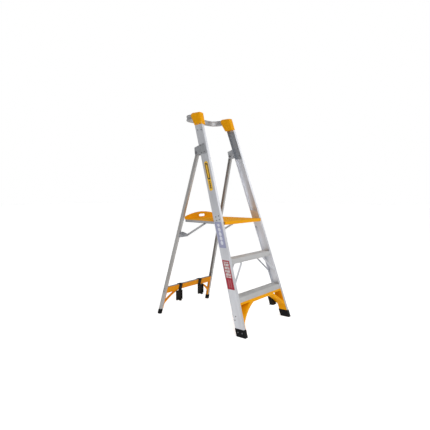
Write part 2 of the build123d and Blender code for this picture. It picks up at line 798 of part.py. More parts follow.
# Closing clips that hook over the cross bar and hang plumb in front of it.
clip_x = 151.0
clip_width = 72.0
clip_depth = 16.0
clip_bottom = bar_bottom - 96
clip_head = bar_bottom - 8  # top of the hanging panel
strap_x = clip_x - 16
strap_width = 42.0
clip_front = rear_edge(clip_head) - fit_gap
hanging = Plane(origin=(0, clip_front, 0), x_dir=(1, 0, 0), z_dir=(0, -1, 0))
with BuildPart() as clip:
    with BuildSketch(hanging):
        with Locations((clip_x, clip_bottom)):
            Rectangle(clip_width, clip_head - clip_bottom, align=(Align.CENTER, Align.MIN))
    extrude(amount=sheet)
    with BuildSketch(hanging):
        for side in (-1, 1):
            with Locations((clip_x + side * (clip_width - sheet) / 2, clip_bottom)):
                Rectangle(sheet, clip_head - clip_bottom, align=(Align.CENTER, Align.MIN))
        for level, edge in ((clip_bottom, Align.MIN), (clip_head, Align.MAX)):
            with Locations((clip_x, level)):
                Rectangle(clip_width, sheet, align=(Align.CENTER, edge))
    extrude(amount=clip_depth)
    with BuildSketch(hanging.offset(clip_depth)):
        with Locations((clip_x, clip_bottom)):
            Rectangle(30, sheet, align=(Align.CENTER, Align.MIN))
    extrude(amount=16, dir=(0, -1, -0.4))
    with BuildSketch(behind_rear(-fit_gap)):
        with Locations((strap_x, (clip_head - 4) * up_rear)):
            Rectangle(strap_width, (bar_top + sheet + 4 - clip_head) * up_rear, align=(Align.CENTER, Align.MIN))
    extrude(amount=sheet, dir=(0, -1, 0))
    with BuildSketch(behind_rear(-fit_gap - sheet)):
        with Locations((strap_x, (bar_top + 0.3) * up_rear)):
            Rectangle(strap_width, sheet, align=(Align.CENTER, Align.MIN))
    extrude(amount=leg_depth + sheet, dir=(0, 1, 0))
    with BuildSketch(behind_rear(leg_depth - fit_gap)):
        with Locations((strap_x, (bar_top - 12) * up_rear)):
            Rectangle(strap_width, 15, align=(Align.CENTER, Align.MIN))
    extrude(amount=sheet, dir=(0, 1, 0))
    with BuildSketch(behind_rear(-fit_gap - sheet)):
        with Locations((strap_x, (bar_top - 8) * up_rear)):
            Circle(9)
    extrude(amount=9, dir=(0, -1, 0))
write_pair(clip.part, "closing_clip")

# Bent steel bracket that carries the lower end of each strut.
arm_face = strut_plane + 6.5  # inner face of the bracket's arm
with BuildPart() as strut_bracket:
    with BuildSketch(behind_rear(-sheet - 0.2)):
        with BuildLine():
            Polyline(
                (arm_face, base_low * up_rear),
                (rear_half(base_low) - 2, base_low * up_rear),
                (rear_half(base_high) - 2, base_high * up_rear),
                (arm_face, base_high * up_rear),
                close=True,
            )
        make_face()
    extrude(amount=sheet, dir=(0, 1, 0))
    with BuildSketch(Plane.YZ.offset(arm_face)):
        with BuildLine():
            Polyline(
                (rear_edge(base_low) - 0.2, base_low),
                (rear_edge(base_high) - 0.2, base_high),
                (latch.Y, latch.Z + 13),
                (latch.Y, latch.Z - 13),
                close=True,
            )
        make_face()
        with Locations((latch.Y, latch.Z)):
            Circle(13)
    extrude(amount=sheet)
    with BuildSketch(Plane.YZ.offset(arm_face)):
        with Locations((latch.Y, latch.Z)):
            Circle(6)
    extrude(amount=-(arm_face - strut_plane - sheet / 2 - fit_gap))
    drill(bracket_rivets, 12)
write_pair(strut_bracket.part, "strut_bracket")

# Rivets through the strut brackets into the rear legs' front flanges, and through the webs into the bar.
with BuildPart() as rear_rivets:
    with Locations(bracket_rivets):
        add(rivet(sheet + 0.2 + leg_wall))
    with Locations(bar_rivets):
        add(rivet(leg_wall + 0.1, tail=False))
    mirror(about=Plane.YZ)
write(rear_rivets.part, "rear_rivets")

# ================================================================ platform
def taper_polygon(front, back, inset):
    """The platform's plan between two distances, pulled in at both sides."""
    return Polyline(
        (-platform_half(front) + inset, foot_line + front),
        (platform_half(front) - inset, foot_line + front),
        (platform_half(back) - inset, foot_line + back),
        (-platform_half(back) + inset, foot_line + back),
        close=True,
    )


deck_bottom = platform_top
deck_top = platform_top + deck_thickness
nosing_depth = 12.0
deck_middle = foot_line + (platform_front + platform_back) / 2
with BuildPart() as deck:
    with BuildSketch(Plane.XY.offset(deck_bottom)):
        with BuildLine():
            taper_polygon(platform_front, platform_back + toe_depth, 0)
        make_face()
        fillet(vertices().sort_by(Axis.Y)[:2], 8)
    extrude(amount=deck_thickness)
    with BuildSketch(Plane.XY.offset(deck_bottom)):
        with BuildLine():
            taper_polygon(platform_front, platform_front + nosing_depth, 0)
        make_face()
        fillet(vertices().sort_by(Axis.Y)[:2], 8)
    extrude(amount=-(nosing_height - deck_thickness))
    with BuildSketch(Plane.XY.offset(deck_bottom)):
        for x in (-150, -50, 50, 150):
            with Locations((x, deck_middle)):
                Rectangle(5, platform_back - platform_front - 133)
        for y in (deck_middle - 100, deck_middle, deck_middle + 100):
            with Locations((0, y)):
                Rectangle(400, 5)
    extrude(amount=-12)
    with BuildSketch(Plane.XZ.offset(-(foot_line + platform_back))):
        half = platform_half(platform_back + toe_depth) - 1
        with BuildLine():
            Polyline(
                (-half, deck_top + toe_end_height),
                (-half, deck_bottom),
                (half, deck_bottom),
                (half, deck_top + toe_end_height),
            )
            ThreePointArc(
                (half, deck_top + toe_end_height), (0, deck_top + toe_height), (-half, deck_top + toe_end_height)
            )
        make_face()
        with Locations((0, platform_top + 29)):
            SlotOverall(handle_width, handle_height, mode=Mode.SUBTRACT)
    extrude(amount=-toe_depth)
write(deck.part, "platform_deck")

# Side rails of flat bar with lugs at the two pivots.
rail_front = platform_front + nosing_depth + 2
rail_face = Plane(
    origin=(platform_half(0), foot_line, 0), x_dir=(-front_splay, 1, 0), z_dir=(1, front_splay, 0)
)
along_rail = hypot(1, front_splay)
lug = 11.0
with BuildPart() as side_rail:
    with BuildSketch(rail_face):
        with BuildLine():
            Polyline(
                (rail_front * along_rail, platform_top - fit_gap),
                ((platform_back - 4) * along_rail, platform_top - fit_gap),
                ((platform_back - 4) * along_rail, platform_top - rail_height),
                (rail_front * along_rail, platform_top - rail_height),
                close=True,
            )
        make_face()
        with Locations((tilt_y * along_rail, tilt_z), (strut_y * along_rail, tilt_z)):
            Circle(lug)
    extrude(amount=-rail_wall)
    with Locations((platform_half(tilt_y), tilt.Y, tilt.Z)):
        Cylinder(pivot_pin + bore_gap, 20, rotation=(0, 90, 0), mode=Mode.SUBTRACT)
    with Locations((platform_half(strut_y), strut_end.Y, strut_end.Z)):
        Cylinder(pivot_pin, 20, rotation=(0, 90, 0), mode=Mode.SUBTRACT)
write_pair(side_rail.part, "platform_rail")


def cross_member(front, name):
    """An angle under the deck, between the side rails."""
    inset = rail_wall + fit_gap
    with BuildPart() as member:
        with BuildSketch(Plane.XY.offset(platform_top - fit_gap)):
            with BuildLine():
                taper_polygon(front, front + member_size, inset)
            make_face()
        extrude(amount=-member_wall)
        with BuildSketch(Plane.XY.offset(platform_top - fit_gap)):
            with BuildLine():
                taper_polygon(front, front + member_wall, inset)
            make_face()
        extrude(amount=-(member_size - 2))
    write(member.part, name)


cross_member(platform_front + 34, "cross_member_front")
cross_member(platform_back - 40, "cross_member_rear")

# Pins that carry the struts, fixed in the side rails.
strut_inner = strut_plane - sheet / 2
with BuildPart() as strut_pin:
    with BuildSketch(Plane.YZ.offset(strut_inner - 1)):
        with Locations((strut_end.Y, strut_end.Z)):
            Circle(pivot_pin)
    extrude(amount=platform_half(strut_y) + 1 - strut_inner + 1)
    with BuildSketch(Plane.YZ.offset(strut_inner - 1)):
        with Locations((strut_end.Y, strut_end.Z)):
            Circle(7)
    extrude(amount=-2.5)
    with BuildSketch(Plane.YZ.offset(platform_half(strut_y) + 1)):
        with Locations((strut_end.Y, strut_end.Z)):
            Circle(7)
    extrude(amount=2.5)
write_pair(strut_pin.part, "strut_pin")

# ================================================================ struts
strut_angle = degrees(atan2(latch.Z - strut_end.Z, latch.Y - strut_end.Y))
strut_length = hypot(latch.Z - strut_end.Z, latch.Y - strut_end.Y)
with BuildPart() as strut:
    with BuildSketch(Plane.YZ.offset(strut_inner)):
        with Locations(((strut_end.Y + latch.Y) / 2, (strut_end.Z + latch.Z) / 2)):
            SlotCenterToCenter(strut_length, strut_width, rotation=strut_angle)
        with Locations((strut_end.Y, strut_end.Z)):
            Circle(pivot_pin + bore_gap, mode=Mode.SUBTRACT)
        with Locations((latch.Y, latch.Z)):
            Circle(pivot_pin, mode=Mode.SUBTRACT)
    extrude(amount=sheet)
write_pair(strut.part, "platform_strut")
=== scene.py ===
"""Looks of a folding platform step ladder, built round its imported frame."""
import json
import logging
import math
from dataclasses import dataclass, field
from enum import Enum
from typing import Sequence, Union

import bpy
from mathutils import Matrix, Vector


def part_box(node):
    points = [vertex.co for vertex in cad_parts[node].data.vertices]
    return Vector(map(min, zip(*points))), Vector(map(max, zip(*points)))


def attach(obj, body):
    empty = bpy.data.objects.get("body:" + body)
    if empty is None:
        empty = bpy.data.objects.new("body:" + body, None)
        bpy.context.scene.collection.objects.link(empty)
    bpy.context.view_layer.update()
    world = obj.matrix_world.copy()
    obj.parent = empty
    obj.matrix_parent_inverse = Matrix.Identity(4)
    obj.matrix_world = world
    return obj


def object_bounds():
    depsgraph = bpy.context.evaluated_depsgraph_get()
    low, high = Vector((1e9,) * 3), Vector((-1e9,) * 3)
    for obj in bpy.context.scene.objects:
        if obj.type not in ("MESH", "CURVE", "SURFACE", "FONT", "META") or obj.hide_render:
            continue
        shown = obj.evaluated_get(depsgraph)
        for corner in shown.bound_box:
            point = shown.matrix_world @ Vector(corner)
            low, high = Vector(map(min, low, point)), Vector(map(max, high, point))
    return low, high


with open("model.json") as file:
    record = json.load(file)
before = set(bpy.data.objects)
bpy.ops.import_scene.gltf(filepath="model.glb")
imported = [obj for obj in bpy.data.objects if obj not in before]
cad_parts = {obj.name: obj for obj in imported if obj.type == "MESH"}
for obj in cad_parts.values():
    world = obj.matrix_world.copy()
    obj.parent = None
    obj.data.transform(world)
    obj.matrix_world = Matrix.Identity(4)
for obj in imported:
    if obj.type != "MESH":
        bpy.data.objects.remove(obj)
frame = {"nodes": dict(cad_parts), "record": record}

log = logging.getLogger("ladder")
Colour = tuple[float, float, float]
Value = Union["Signal", float, int, Sequence[float]]

CAD_LOW, CAD_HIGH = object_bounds()
LEAN = 0.3194  # the stiles go back by this much for each metre of height
SPLAY = 0.0684  # and in by this much
SIDES = (("left", -1), ("right", 1))
LEG_DEPTH = 0.031
LEG_FLANGE = 0.021
BOOT_WALL = 0.002


# ------------------------------------------------------------------ node graphs
class Signal:
    """An output socket, on which shader and geometry maths reads as an expression."""

    def __init__(self, graph: "Graph", socket: bpy.types.NodeSocket) -> None:
        """Keep the socket and the graph that owns it."""
        self.graph = graph
        self.socket = socket

    def math(self, operation: str, other: Value = 0.0, flip: bool = False) -> "Signal":
        """Add one Math node.

        Args:
            operation: The Math node's operation.
            other: The second operand.
            flip: Put the second operand first.

        Returns:
            The node's result.
        """
        pair = (other, self) if flip else (self, other)
        return self.graph.add("ShaderNodeMath", {"operation": operation}, {0: pair[0], 1: pair[1]})

    def out(self, name: str) -> "Signal":
        """Another output of the same node."""
        return Signal(self.graph, self.socket.node.outputs[name])

    def __add__(self, other: Value) -> "Signal":
        """Sum."""
        return self.math("ADD", other)

    def __sub__(self, other: Value) -> "Signal":
        """Difference."""
        return self.math("SUBTRACT", other)

    def __rsub__(self, other: Value) -> "Signal":
        """Reflected difference."""
        return self.math("SUBTRACT", other, flip=True)

    def __mul__(self, other: Value) -> "Signal":
        """Product."""
        return self.math("MULTIPLY", other)

    def __truediv__(self, other: Value) -> "Signal":
        """Quotient."""
        return self.math("DIVIDE", other)

    def __lt__(self, other: Value) -> "Signal":
        """1 where this is the smaller."""
        return self.math("LESS_THAN", other)

    def __gt__(self, other: Value) -> "Signal":
        """1 where this is the larger."""
        return self.math("GREATER_THAN", other)

    def __abs__(self) -> "Signal":
        """Size without sign."""
        return self.math("ABSOLUTE")

    __radd__ = __add__
    __rmul__ = __mul__


class Graph:
    """A node tree with one method that adds any node."""

    def __init__(self, tree: bpy.types.NodeTree) -> None:
        """Keep the tree."""
        self.tree = tree

    def add(self, kind: str, settings: dict | None = None, sockets: dict | None = None) -> Signal:
        """Add a node.

        Args:
            kind: The node's type.
            settings: The node's own settings, set first; "stops" fills a colour ramp.
            sockets: Values or links of its inputs, by name, identifier or number.

        Returns:
            The node's first enabled output, or its first output.
        """
        node = self.tree.nodes.new(kind)
        for name, value in (settings or {}).items():
            if name == "stops":
                self._fill_ramp(node.color_ramp, value)
            else:
                setattr(node, name, value)
        for key, value in (sockets or {}).items():
            socket = self._input(node, key)
            if isinstance(value, Signal):
                self.tree.links.new(value.socket, socket)
            else:
                socket.default_value = value
        shown = [s for s in node.outputs if s.enabled]
        return Signal(self, (shown or list(node.outputs) or [node.inputs[0]])[0])

    @staticmethod
    def _fill_ramp(ramp: bpy.types.ColorRamp, stops: Sequence) -> None:
        """Give a colour ramp its stops."""
        while len(ramp.elements) < len(stops):
            ramp.elements.new(0.5)
        for element, (place, shade) in zip(ramp.elements, stops):
            element.position = place
            element.color = (shade, shade, shade, 1.0)

    @staticmethod
    def _input(node: bpy.types.Node, key: str | int) -> bpy.types.NodeSocket:
        """An input by number, identifier or name."""
        if isinstance(key, int):
            return node.inputs[key]
        for socket in node.inputs:
            if socket.identifier == key:
                return socket
        return next(s for s in node.inputs if s.name == key and s.enabled)


class Surface(Graph):
    """A material's graph, with the coordinates and patterns that the finishes share."""

    def __init__(self, name: str) -> None:
        """Start an empty material."""
        self.material = bpy.data.materials.new(name)
        self.material.use_nodes = True
        super().__init__(self.material.node_tree)
        self.tree.nodes.clear()
        self.place = self.add("ShaderNodeTexCoord").out("Object")
        split = self.add("ShaderNodeSeparateXYZ", sockets={0: self.place})
        self.x, self.y, self.z = (split.out(axis) for axis in "XYZ")

    def vector(self, x: Value, y: Value, z: Value) -> Signal:
        """Three numbers as one vector."""
        return self.add("ShaderNodeCombineXYZ", sockets={0: x, 1: y, 2: z})

    def noise(self, where: Signal, scale: float, detail: float = 3.0, rough: float = 0.55) -> Signal:
        """Soft noise from 0 to 1.

        Args:
            where: The coordinates it reads.
            scale: Its frequency per metre.
            detail: How many finer layers it has.
            rough: How strong the finer layers are.

        Returns:
            The noise's value.
        """
        return self.add("ShaderNodeTexNoise", sockets={
            "Vector": where, "Scale": scale, "Detail": detail, "Roughness": rough})

    def ramp(self, value: Signal, *stops: tuple[float, float]) -> Signal:
        """Reshape a value through grey stops of (place, level)."""
        return self.add("ShaderNodeValToRGB", {"stops": stops}, {"Fac": value})

    def mix(self, first: Value, second: Value, share: Value, mode: str = "MIX") -> Signal:
        """Mix two colours.

        Args:
            first: The colour at share 0.
            second: The colour at share 1.
            share: The factor.
            mode: The blend mode.

        Returns:
            The mixed colour.
        """
        pair = [(*c, 1.0) if isinstance(c, tuple) and len(c) == 3 else c for c in (first, second)]
        return self.add("ShaderNodeMix", {"data_type": "RGBA", "blend_type": mode},
                        {"Factor_Float": share, "A_Color": pair[0], "B_Color": pair[1]}).out("Result")

    def bump(self, height: Signal, strength: float, distance: float) -> Signal:
        """Turn a height into a normal."""
        return self.add("ShaderNodeBump", sockets={
            "Height": height, "Strength": strength, "Distance": distance})

    def close(self, **sockets: Value) -> bpy.types.Material:
        """End the material in a Principled shader.

        Args:
            sockets: Its inputs, with underscores for spaces.

        Returns:
            The finished material.
        """
        named = {key.replace("_", " "): value for key, value in sockets.items()}
        for key, value in named.items():
            if isinstance(value, tuple) and len(value) == 3:
                named[key] = (*value, 1.0)
        shader = self.add("ShaderNodeBsdfPrincipled", sockets=named)
        self.add("ShaderNodeOutputMaterial", sockets={"Surface": shader})
        return self.material


# ------------------------------------------------------------------ finishes
class Grain(Enum):
    """Which way the extrusion lines of an aluminium piece run."""

    STILE = "up the sloping stiles"
    LEG = "up the sloping rear legs"
    ACROSS = "from side to side"
    BACK = "from front to back"


@dataclass(frozen=True)
class Aluminium:
    """Mill-finish extrusion: fine lines along its length, handling scuffs and dull patches."""

    name: str
    grain: Grain
    colour: Colour = (0.72, 0.73, 0.765)
    rough: float = 0.42
    lines: float = 900.0  # across the grain, per metre
    stretch: float = 5.0  # along the grain, per metre
    lean: float = LEAN
    splay: float = SPLAY
    streaks: float = 0.16  # how much the fine lines show
    wear: float = 0.28  # how much the scuffs show

    def _along(self, s: Surface) -> tuple[Signal, Signal, Signal]:
        """The two distances across the grain, and the one along it."""
        if self.grain in (Grain.STILE, Grain.LEG):
            return abs(s.x) + s.z * self.splay, s.y - s.z * self.lean, s.z
        if self.grain is Grain.ACROSS:
            return s.y, s.z, s.x
        return s.x, s.z, s.y

    def make(self) -> bpy.types.Material:
        """Build the material."""
        s = Surface(self.name)
        first, second, run = self._along(s)
        lines = s.vector(first * self.lines, second * self.lines, run * self.stretch)
        fine = s.noise(lines, 1.0, 4.0, 0.7)
        broad = s.noise(s.vector(first * 130.0, second * 130.0, run * 1.2), 1.0, 2.0)
        cloud = s.noise(s.place, 9.0, 4.0, 0.6)
        scuff_place = s.vector(first * 60.0, second * 60.0, run * 16.0)
        scuffs = s.ramp(s.noise(scuff_place, 1.0, 6.0, 0.72), (0.60, 0.0), (0.72, 1.0))
        bands = s.noise(s.vector(first * 14.0, second * 14.0, run * 2.6), 1.0, 1.0)
        level = 0.62 + fine * self.streaks + broad * 0.16 + cloud * 0.10 + bands * 0.40
        tone = s.mix(self.colour, s.vector(level, level, level), 1.0, "MULTIPLY")
        worn = s.mix(tone, (0.80, 0.80, 0.80), scuffs * self.wear)
        rough = self.rough - 0.10 + fine * 0.16 + cloud * 0.10 + scuffs * 0.10
        normal = s.bump(fine + broad * 0.5, 0.22, 0.0004)
        return s.close(Base_Color=worn, Metallic=0.86, Roughness=rough, Normal=normal)


@dataclass(frozen=True)
class PlatedSteel:
    """Zinc-plated sheet with a faint spangle and a blue-grey cast."""

    name: str
    colour: Colour = (0.37, 0.385, 0.41)
    rough: float = 0.40
    spangle: float = 160.0

    def make(self) -> bpy.types.Material:
        """Build the material."""
        s = Surface(self.name)
        cells = s.add("ShaderNodeTexVoronoi", {"feature": "F1"},
                      {"Vector": s.place, "Scale": self.spangle}).out("Color")
        flake = s.add("ShaderNodeSeparateXYZ", sockets={0: cells}).out("X")
        cloud = s.noise(s.place, 26.0, 4.0, 0.6)
        level = 0.80 + flake * 0.22 + cloud * 0.20
        base = s.mix(self.colour, s.vector(level, level, level), 1.0, "MULTIPLY")
        stain = s.ramp(s.noise(s.place, 70.0, 5.0, 0.7), (0.56, 0.0), (0.74, 1.0))
        worn = s.mix(base, (0.20, 0.19, 0.18), stain * 0.35)
        rough = self.rough - 0.08 + flake * 0.10 + cloud * 0.14
        normal = s.bump(s.noise(s.place, 900.0, 2.0), 0.12, 0.0003)
        return s.close(Base_Color=worn, Metallic=0.88, Roughness=rough, Normal=normal)


@dataclass(frozen=True)
class Moulding:
    """Moulded plastic or rubber with a spark-eroded texture, flow marks and scuffs."""

    name: str
    colour: Colour
    scuffed: Colour
    rough: float = 0.46
    texture: float = 1500.0
    depth: float = 0.16
    wear: float = 0.35
    sheen: float = 0.10

    def make(self) -> bpy.types.Material:
        """Build the material."""
        s = Surface(self.name)
        skin = s.noise(s.place, self.texture, 2.0, 0.6)
        flow = s.noise(s.vector(s.x * 4.0, s.y * 22.0, s.z * 30.0), 1.0, 3.0)
        cloud = s.noise(s.place, 14.0, 3.0, 0.6)
        level = 0.86 + flow * 0.12 + cloud * 0.14 + skin * 0.03
        base = s.mix(self.colour, s.vector(level, level, level), 1.0, "MULTIPLY")
        scratch_place = s.vector(s.x * 40.0, s.y * 55.0, s.z * 300.0)
        scratch = s.ramp(s.noise(scratch_place, 1.0, 5.0, 0.75), (0.62, 0.0), (0.71, 1.0))
        worn = s.mix(base, self.scuffed, scratch * self.wear)
        rough = self.rough - 0.06 + cloud * 0.12 + skin * 0.08 + scratch * 0.12
        normal = s.bump(skin + scratch * 0.25, self.depth, 0.0005)
        return s.close(Base_Color=worn, Roughness=rough, Normal=normal, Specular_IOR_Level=self.sheen)


class Art(Enum):
    """What is printed on a label, all of it plain shapes."""

    BADGE = "dark rounded shapes on yellow"
    CHART = "pale blocks on a violet panel"
    NOTICE = "pale blocks and thin bars in a red field"


@dataclass(frozen=True)
class PrintedLabel:
    """A printed film on the left stile's outer face. u runs across it and v runs up it, both 0 to 1."""

    name: str
    art: Art
    low: float
    high: float
    near: float
    far: float

    def _box(self, u: Signal, v: Signal, lo: tuple[float, float], hi: tuple[float, float]) -> Signal:
        """1 inside a rectangle of the label, 0 outside."""
        return (u > lo[0]) * (u < hi[0]) * (v > lo[1]) * (v < hi[1])

    def _pill(self, u: Signal, v: Signal, middle: tuple[float, float], half: float,
              run: float) -> Signal:
        """1 inside an upright bar with round ends.

        Args:
            u: Place across the label.
            v: Place up the label.
            middle: The bar's middle.
            half: Half its width, as a share of the label's width.
            run: Half the length of its straight part, as a share of the label's height.

        Returns:
            The mask.
        """
        tall = (self.high - self.low) / (self.far - self.near)
        side = abs(u - middle[0])
        end = (abs(v - middle[1]) - run).math("MAXIMUM", 0.0) * tall
        return (side * side + end * end) < half * half

    def _badge(self, s: Surface, u: Signal, v: Signal) -> Signal:
        """A yellow ground with one long dark ring, and a column of dark dots below it."""
        mark = self._pill(u, v, (0.5, 0.66), 0.40, 0.22) - self._pill(u, v, (0.5, 0.66), 0.19, 0.20)
        for place in (0.30, 0.235, 0.17, 0.105):
            mark = mark.math("MAXIMUM", self._pill(u, v, (0.5, place), 0.19, 0.0))
        return s.mix((0.80, 0.46, 0.02), (0.035, 0.03, 0.022), mark * 0.95)

    def _chart(self, s: Surface, u: Signal, v: Signal) -> Signal:
        """A pale violet panel with a row of pale rounded blocks."""
        mark = self._pill(u, v, (0.50, 0.87), 0.18, 0.0)
        for place in (0.70, 0.53, 0.36, 0.19):
            mark = mark.math("MAXIMUM", self._pill(u, v, (0.50, place), 0.20, 0.012))
        return s.mix((0.33, 0.34, 0.50), (0.72, 0.73, 0.80), mark * 0.9)

    def _notice(self, s: Surface, u: Signal, v: Signal) -> Signal:
        """A red field with pale rounded blocks above and two thin bars below."""
        blocks = self._box(u, v, (0.14, 0.40), (0.86, 0.95))
        level_gaps = (v * 9.0).math("FRACT") < 0.20
        slanting_gaps = (u * 2.0 + v * 4.5).math("FRACT") < 0.10
        gaps = level_gaps.math("MAXIMUM", slanting_gaps)
        bars = self._box(u, v, (0.30, 0.06), (0.42, 0.34)).math(
            "MAXIMUM", self._box(u, v, (0.58, 0.06), (0.70, 0.34)))
        ground = s.mix((0.38, 0.008, 0.028), (0.64, 0.62, 0.61), blocks * (1.0 - gaps) * 0.92)
        return s.mix(ground, (0.52, 0.18, 0.20), bars * 0.6)

    def make(self) -> bpy.types.Material:
        """Build the material."""
        s = Surface(self.name)
        front = CAD_LOW.y + BOOT_WALL
        u = (s.y - s.z * LEAN - (front + self.near)) / (self.far - self.near)
        v = (s.z - self.low) / (self.high - self.low)
        paint = {Art.BADGE: self._badge, Art.CHART: self._chart, Art.NOTICE: self._notice}[self.art]
        colour = paint(s, u, v)
        scuffs = s.ramp(s.noise(s.vector(s.x * 30.0, s.y * 160.0, s.z * 60.0), 1.0, 6.0, 0.75),
                        (0.58, 0.0), (0.70, 1.0))
        worn = s.mix(colour, (0.62, 0.61, 0.60), scuffs * 0.35)
        rough = 0.30 + s.noise(s.place, 40.0, 3.0) * 0.2 + scuffs * 0.2
        normal = s.bump(s.noise(s.place, 260.0, 2.0), 0.05, 0.0006)
        return s.close(Base_Color=worn, Roughness=rough, Normal=normal)


def leg_slopes() -> tuple[float, float]:
    """How far a rear leg leans forward and comes in for each metre of height."""
    low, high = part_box("rear_leg_right")
    rise = high.z - low.z
    return -(high.y - low.y - LEG_DEPTH) / rise, (high.x - low.x - LEG_FLANGE) / rise


@dataclass
class Finishes:
    """Every finish of the ladder, made once."""

    stile: bpy.types.Material = field(init=False)
    leg: bpy.types.Material = field(init=False)
    across: bpy.types.Material = field(init=False)
    back: bpy.types.Material = field(init=False)
    rail: bpy.types.Material = field(init=False)
    steel: bpy.types.Material = field(init=False)
    plate: bpy.types.Material = field(init=False)
    rivet: bpy.types.Material = field(init=False)
    bright: bpy.types.Material = field(init=False)
    yellow: bpy.types.Material = field(init=False)
    deep: bpy.types.Material = field(init=False)
    cap: bpy.types.Material = field(init=False)
    rubber: bpy.types.Material = field(init=False)
    black: bpy.types.Material = field(init=False)

    def __post_init__(self) -> None:
        """Make the materials."""
        leg_lean, leg_splay = leg_slopes()
        self.stile = Aluminium("stile_aluminium", Grain.STILE).make()
        self.leg = Aluminium("leg_aluminium", Grain.LEG, (0.50, 0.49, 0.48),
                             lean=leg_lean, splay=leg_splay).make()
        self.across = Aluminium("tread_aluminium", Grain.ACROSS, (0.60, 0.60, 0.60), 0.48).make()
        self.back = Aluminium("bar_aluminium", Grain.BACK, (0.50, 0.50, 0.51)).make()
        self.rail = Aluminium("guard_rail_aluminium", Grain.ACROSS, (0.47, 0.47, 0.48), 0.46,
                              lines=200.0, streaks=0.03, wear=0.04).make()
        self.steel = PlatedSteel("plated_steel").make()
        self.plate = PlatedSteel("plate_steel", (0.46, 0.47, 0.49), 0.44, 120.0).make()
        self.rivet = PlatedSteel("rivet_metal", (0.20, 0.20, 0.21), 0.34, 420.0).make()
        self.bright = PlatedSteel("bright_rivet", (0.62, 0.63, 0.65), 0.34, 420.0).make()
        self.deep = Moulding("arch_moulding", (0.80, 0.29, 0.001), (0.86, 0.40, 0.03)).make()
        self.yellow = Moulding("yellow_moulding", (0.84, 0.36, 0.0005), (0.88, 0.46, 0.02)).make()
        self.cap = Moulding("cap_moulding", (0.76, 0.325, 0.0005), (0.82, 0.42, 0.02)).make()
        self.rubber = Moulding("boot_rubber", (0.012, 0.012, 0.013), (0.08, 0.078, 0.075),
                               0.62, 700.0, 0.3).make()
        self.black = Moulding("black_moulding", (0.02, 0.018, 0.016), (0.10, 0.095, 0.09), 0.5).make()


def dress(material: bpy.types.Material, *nodes: str) -> None:
    """Give CAD nodes a material.

    Args:
        material: The material.
        nodes: Names of the nodes.
    """
    for name in nodes:
        node = frame["nodes"][name]
        if not node.material_slots:
            node.data.materials.append(material)
        for place in node.material_slots:
            place.material = material
        log.info("%s is dressed in %s", name, material.name)


def both(name: str) -> tuple[str, str]:
    """The left and right nodes of a pair."""
    return f"{name}_left", f"{name}_right"


# ------------------------------------------------------------------ repeated shapes
class Pattern(Graph):
    """A Geometry Nodes tree with named inputs that ends in one plain mesh."""

    KINDS = {float: "NodeSocketFloat", int: "NodeSocketInt", Vector: "NodeSocketVector"}

    def __init__(self, name: str, material: bpy.types.Material,
                 **inputs: Union[float, int, Vector]) -> None:
        """Start the tree.

        Args:
            name: The tree's name.
            material: What its result is made of.
            inputs: Its named inputs and their values.
        """
        super().__init__(bpy.data.node_groups.new(name, "GeometryNodeTree"))
        self.material = material
        self.inputs = inputs
        self.sockets = {}
        for key, value in inputs.items():
            socket = self.tree.interface.new_socket(key, in_out="INPUT", socket_type=self.KINDS[type(value)])
            self.sockets[key] = socket.identifier
        self.tree.interface.new_socket("Geometry", in_out="OUTPUT", socket_type="NodeSocketGeometry")
        self.entry = self.tree.nodes.new("NodeGroupInput")

    def given(self, name: str) -> Signal:
        """A named input of the tree."""
        return Signal(self, self.entry.outputs[name])

    def vector(self, x: Value = 0.0, y: Value = 0.0, z: Value = 0.0) -> Signal:
        """Three numbers as one vector."""
        return self.add("ShaderNodeCombineXYZ", sockets={0: x, 1: y, 2: z})

    def place(self, geometry: Signal, to: Value, turn: Value = (0.0, 0.0, 0.0),
              scale: Value = (1.0, 1.0, 1.0)) -> Signal:
        """Move, turn and scale geometry."""
        return self.add("GeometryNodeTransform", sockets={
            "Geometry": geometry, "Translation": to, "Rotation": turn, "Scale": scale})

    def copies(self, points: Signal, shape: Signal, turn: Value = (0.0, 0.0, 0.0)) -> Signal:
        """One shape on every point."""
        return self.add("GeometryNodeInstanceOnPoints", sockets={
            "Points": points, "Instance": shape, "Rotation": turn})

    def join(self, *parts: Signal) -> Signal:
        """Several geometries as one."""
        node = self.add("GeometryNodeJoinGeometry")
        for part in parts:
            self.tree.links.new(part.socket, node.socket.node.inputs[0])
        return node

    def grow(self, result: Signal, name: str, body: str, slot: str) -> bpy.types.Object:
        """Turn the tree's result into one plain mesh that rides on a body.

        Args:
            result: The geometry to keep.
            name: The piece's name.
            body: The CAD body it moves with.
            slot: The record's material slot; not used.

        Returns:
            The finished piece.
        """
        real = self.add("GeometryNodeRealizeInstances", sockets={"Geometry": result})
        coat = self.add("GeometryNodeSetMaterial", sockets={"Geometry": real, "Material": self.material})
        self.tree.links.new(coat.socket, self.tree.nodes.new("NodeGroupOutput").inputs[0])
        host = bpy.data.objects.new(name, bpy.data.meshes.new(name))
        bpy.context.scene.collection.objects.link(host)
        modifier = host.modifiers.new("pattern", "NODES")
        modifier.node_group = self.tree
        for key, identifier in self.sockets.items():
            modifier[identifier] = self.inputs[key]
        shaped = host.evaluated_get(bpy.context.evaluated_depsgraph_get())
        mesh = bpy.data.meshes.new_from_object(shaped)
        host.modifiers.remove(modifier)
        host.data = mesh
        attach(host, body)
        log.info("%s: %d faces on %s", name, len(mesh.polygons), body)
        return host


